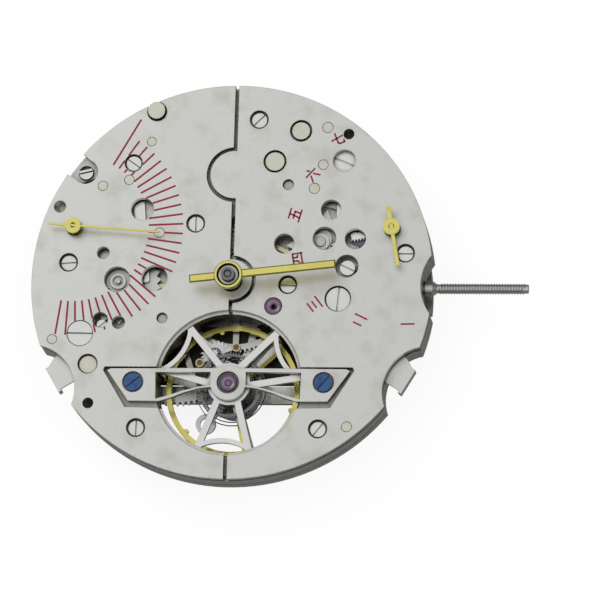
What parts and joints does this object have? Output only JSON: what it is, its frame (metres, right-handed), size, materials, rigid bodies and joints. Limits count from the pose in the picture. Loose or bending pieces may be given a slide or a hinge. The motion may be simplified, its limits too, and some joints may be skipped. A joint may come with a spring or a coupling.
{
  "type": "automatic watch movement",
  "caption": "Round self-winding watch movement seen from the dial side, with an open tourbillon, retrograde date and weekday hands, an hour hand, a winding stem and a rotor.",
  "frame": {"origin": "centre of the movement on the face that the dial rests on", "axes": "+Z out of the dial side, +X along the winding stem toward the crown"},
  "size_m": [0.0407, 0.033, 0.0093],
  "materials": {
    "satin_nickel": "satin rhodium-plated plate",
    "back_nickel": "grained nickel-plated bridge",
    "polished_steel": "polished steel",
    "brushed_steel": "straight-grained steel",
    "blued_steel": "heat-blued steel",
    "gilt": "polished gilt brass",
    "pale_brass": "pale wheel brass",
    "ruby": "synthetic ruby",
    "dark_steel": "dark burnished steel",
    "spring_steel": "dark spring alloy",
    "weight": "tungsten alloy rotor weight"
  },
  "bodies": {
    "frame": {"main_plate": "back_nickel", "date_plate": "satin_nickel", "day_plate": "satin_nickel", "wing_bridge": "satin_nickel", "fixed_wheel": "brushed_steel", "plate_screws": "polished_steel", "blue_screws": "blued_steel", "plate_studs": "polished_steel", "plate_jewels": "ruby", "barrel_bridge": "back_nickel", "train_bridge": "back_nickel", "tourbillon_bridge": "back_nickel", "auto_bridge": "back_nickel", "bridge_screws": "polished_steel", "rotor_screw": "polished_steel", "date_jumper": "polished_steel", "day_jumper": "polished_steel"},
    "centre": {"centre_wheel": "brushed_steel", "cannon_pinion": "dark_steel"},
    "minute_wheel": {"minute_wheel": "pale_brass"},
    "setting_idler": {"setting_idler": "pale_brass"},
    "hour": {"hour_wheel": "polished_steel", "hour_hand": "gilt"},
    "date_drive": {"date_drive": "pale_brass"},
    "day_drive": {"day_drive": "pale_brass"},
    "date_star": {"date_star": "polished_steel"},
    "date_rack": {"date_rack": "polished_steel"},
    "date_hand": {"date_hand": "gilt"},
    "day_star": {"day_star": "polished_steel"},
    "day_rack": {"day_rack": "polished_steel"},
    "day_hand": {"day_hand": "gilt"},
    "date_corrector": {"date_corrector": "brushed_steel"},
    "day_corrector": {"day_corrector": "brushed_steel"},
    "winding_pinion": {"winding_pinion": "brushed_steel"},
    "winding_stem": {"winding_stem": "polished_steel"},
    "sliding_pinion": {"sliding_pinion": "brushed_steel"},
    "setting_lever": {"setting_lever": "polished_steel"},
    "yoke": {"yoke": "polished_steel"},
    "setting_wheel": {"setting_wheel": "pale_brass"},
    "crown_wheel": {"crown_wheel": "brushed_steel"},
    "ratchet_wheel": {"ratchet_wheel": "brushed_steel"},
    "barrel": {"barrel": "pale_brass"},
    "third_wheel": {"third_wheel": "brushed_steel"},
    "cage": {"cage_frame": "polished_steel", "cage_cock": "brushed_steel", "cage_base": "brushed_steel", "cage_jewels": "ruby"},
    "escape_wheel": {"escape_wheel": "polished_steel"},
    "pallet_fork": {"pallet_fork": "polished_steel"},
    "balance": {"balance": "gilt", "hairspring": "spring_steel"},
    "rotor": {"rotor": "brushed_steel", "rotor_weight": "weight"},
    "reverser_wheel": {"reverser_wheel": "pale_brass"},
    "reverser_pinion": {"reverser_pinion": "polished_steel"},
    "reduction_wheel": {"reduction_wheel": "pale_brass"}
  },
  "joints": [
    {"name": "cage_turn", "type": "hinge", "parent": "frame", "child": "cage", "pos_m": [0, -0.0085, -0.0025], "axis": [0, 0, 1], "continuous": true},
    {"name": "centre_wheel_turn", "type": "hinge", "parent": "frame", "child": "centre", "pos_m": [0, 0, -0.002], "axis": [0, 0, 1], "continuous": true},
    {"name": "minute_wheel_turn", "type": "hinge", "parent": "frame", "child": "minute_wheel", "pos_m": [-0.00132, 0.00258, -0.0015], "axis": [0, 0, 1], "continuous": true},
    {"name": "setting_idler_turn", "type": "hinge", "parent": "frame", "child": "setting_idler", "pos_m": [0.00465, -0.00032, -0.0018], "axis": [0, 0, 1], "continuous": true},
    {"name": "hour_hand_turn", "type": "hinge", "parent": "frame", "child": "hour", "pos_m": [0, 0, 0.0005], "axis": [0, 0, 1], "continuous": true},
    {"name": "date_drive_turn", "type": "hinge", "parent": "frame", "child": "date_drive", "pos_m": [-0.0045, 0, -0.0015], "axis": [0, 0, 1], "continuous": true},
    {"name": "day_drive_turn", "type": "hinge", "parent": "frame", "child": "day_drive", "pos_m": [0.00263, 0.00365, -0.0015], "axis": [0, 0, 1], "continuous": true},
    {"name": "setting_wheel_turn", "type": "hinge", "parent": "frame", "child": "setting_wheel", "pos_m": [0.00889, -0.00032, -0.00178], "axis": [0, 0, 1], "continuous": true},
    {"name": "third_wheel_turn", "type": "hinge", "parent": "frame", "child": "third_wheel", "pos_m": [-0.00495, -0.00258, -0.0044], "axis": [0, 0, 1], "continuous": true},
    {"name": "barrel_turn", "type": "hinge", "parent": "frame", "child": "barrel", "pos_m": [0.0034, 0.00523, -0.003], "axis": [0, 0, 1], "continuous": true},
    {"name": "escape_wheel_turn", "type": "hinge", "parent": "cage", "child": "escape_wheel", "pos_m": [-0.00132, -0.0058, -0.002], "axis": [0, 0, 1], "continuous": true},
    {"name": "pallet_fork_rock", "type": "hinge", "parent": "cage", "child": "pallet_fork", "pos_m": [-0.00066, -0.00715, -0.00205], "axis": [0, 0, 1], "range_deg": [-6, 6]},
    {"name": "balance_swing", "type": "hinge", "parent": "cage", "child": "balance", "pos_m": [0, -0.0085, -0.0035], "axis": [0, 0, 1], "range_deg": [-270, 270], "deforming": ["hairspring"]},
    {"name": "date_star_turn", "type": "hinge", "parent": "frame", "child": "date_star", "pos_m": [-0.00942, 0.00008, -0.0012], "axis": [0, 0, 1], "range_deg": [-205.5, 142.8], "deforming": ["date_jumper"]},
    {"name": "date_rack_turn", "type": "hinge", "parent": "frame", "child": "date_rack", "pos_m": [-0.0084, 0.00993, -0.001], "axis": [0, 0, 1], "range_deg": [-4.7, 6.7]},
    {"name": "date_hand_turn", "type": "hinge", "parent": "frame", "child": "date_hand", "pos_m": [-0.0131, 0.00442, 0], "axis": [0, 0, 1], "range_deg": [-94, 65.5]},
    {"name": "day_star_turn", "type": "hinge", "parent": "frame", "child": "day_star", "pos_m": [0.00718, 0.00344, -0.0012], "axis": [0, 0, 1], "range_deg": [-308.57, 0], "deforming": ["day_jumper"]},
    {"name": "day_rack_turn", "type": "hinge", "parent": "frame", "child": "day_rack", "pos_m": [0.00901, 0.01013, -0.001], "axis": [0, 0, 1], "range_deg": [-0.05, 11.6]},
    {"name": "day_hand_turn", "type": "hinge", "parent": "frame", "child": "day_hand", "pos_m": [0.0131, 0.00435, 0], "axis": [0, 0, 1], "range_deg": [-159, 0.5]},
    {"name": "date_corrector_press", "type": "hinge", "parent": "frame", "child": "date_corrector", "pos_m": [-0.01232, -0.00444, -0.001], "axis": [0, 0, 1], "range_deg": [0, 8], "stiffness_Nm_per_rad": 0.0002},
    {"name": "day_corrector_press", "type": "hinge", "parent": "frame", "child": "day_corrector", "pos_m": [0.00878, -0.00148, -0.001], "axis": [0, 0, 1], "range_deg": [-4, 0], "stiffness_Nm_per_rad": 0.0002},
    {"name": "stem_turn", "type": "hinge", "parent": "frame", "child": "winding_pinion", "pos_m": [0.0118, 0, -0.0027], "axis": [1, 0, 0], "continuous": true},
    {"name": "stem_pull", "type": "slide", "parent": "winding_pinion", "child": "winding_stem", "axis": [1, 0, 0], "range_m": [0, 0.0012]},
    {"name": "sliding_pinion_slide", "type": "slide", "parent": "winding_pinion", "child": "sliding_pinion", "axis": [1, 0, 0], "range_m": [-0.0005, 0]},
    {"name": "setting_lever_turn", "type": "hinge", "parent": "frame", "child": "setting_lever", "pos_m": [0.014, -0.0039, -0.00205], "axis": [0, 0, 1], "range_deg": [-20.6, 0]},
    {"name": "yoke_turn", "type": "hinge", "parent": "frame", "child": "yoke", "pos_m": [0.01005, -0.0042, -0.00205], "axis": [0, 0, 1], "range_deg": [0, 8.3]},
    {"name": "crown_wheel_turn", "type": "hinge", "parent": "frame", "child": "crown_wheel", "pos_m": [0.00864, 0, -0.00376], "axis": [0, 0, 1], "continuous": true},
    {"name": "ratchet_wheel_turn", "type": "hinge", "parent": "frame", "child": "ratchet_wheel", "pos_m": [0.0034, 0.00523, -0.00376], "axis": [0, 0, 1], "continuous": true},
    {"name": "reduction_wheel_turn", "type": "hinge", "parent": "frame", "child": "reduction_wheel", "pos_m": [-0.0016, 0.00537, -0.005], "axis": [0, 0, 1], "continuous": true},
    {"name": "reverser_pinion_turn", "type": "hinge", "parent": "frame", "child": "reverser_pinion", "pos_m": [-0.0033, 0.00184, -0.0055], "axis": [0, 0, 1], "continuous": true},
    {"name": "rotor_spin", "type": "hinge", "parent": "frame", "child": "rotor", "pos_m": [0, 0, -0.0063], "axis": [0, 0, 1], "continuous": true},
    {"name": "reverser_wheel_turn", "type": "hinge", "parent": "frame", "child": "reverser_wheel", "pos_m": [-0.0033, 0.00184, -0.00606], "axis": [0, 0, 1], "continuous": true}
  ],
  "couplings": [
    {"joint": "centre_wheel_turn", "follows": "cage_turn", "ratio": 0.016667},
    {"joint": "minute_wheel_turn", "follows": "cage_turn", "ratio": -0.0055556},
    {"joint": "setting_idler_turn", "follows": "cage_turn", "ratio": -0.0055556},
    {"joint": "hour_hand_turn", "follows": "cage_turn", "ratio": 0.0013889},
    {"joint": "date_drive_turn", "follows": "cage_turn", "ratio": -0.00069444},
    {"joint": "day_drive_turn", "follows": "cage_turn", "ratio": -0.00069444},
    {"joint": "setting_wheel_turn", "follows": "cage_turn", "ratio": 0.025641},
    {"joint": "third_wheel_turn", "follows": "cage_turn", "ratio": -0.13333},
    {"joint": "escape_wheel_turn", "follows": "cage_turn", "ratio": 9},
    {"joint": "barrel_turn", "follows": "cage_turn", "ratio": -0.002381},
    {"joint": "date_hand_turn", "follows": "date_star_turn", "ratio": 0.45524},
    {"joint": "date_rack_turn", "follows": "date_star_turn", "ratio": -0.032325},
    {"joint": "day_hand_turn", "follows": "day_star_turn", "ratio": 0.51333},
    {"joint": "day_rack_turn", "follows": "day_star_turn", "ratio": -0.037333},
    {"joint": "crown_wheel_turn", "follows": "stem_turn", "ratio": 0.3125},
    {"joint": "ratchet_wheel_turn", "follows": "stem_turn", "ratio": -0.2381},
    {"joint": "reduction_wheel_turn", "follows": "stem_turn", "ratio": 1.25},
    {"joint": "reverser_pinion_turn", "follows": "stem_turn", "ratio": -8.75},
    {"joint": "sliding_pinion_slide", "follows": "stem_pull", "ratio": -0.41667},
    {"joint": "setting_lever_turn", "follows": "stem_pull", "rad_per_m": -296.71},
    {"joint": "yoke_turn", "follows": "stem_pull", "rad_per_m": 117.96},
    {"joint": "reverser_wheel_turn", "follows": "rotor_spin", "ratio": -0.35}
  ]
}
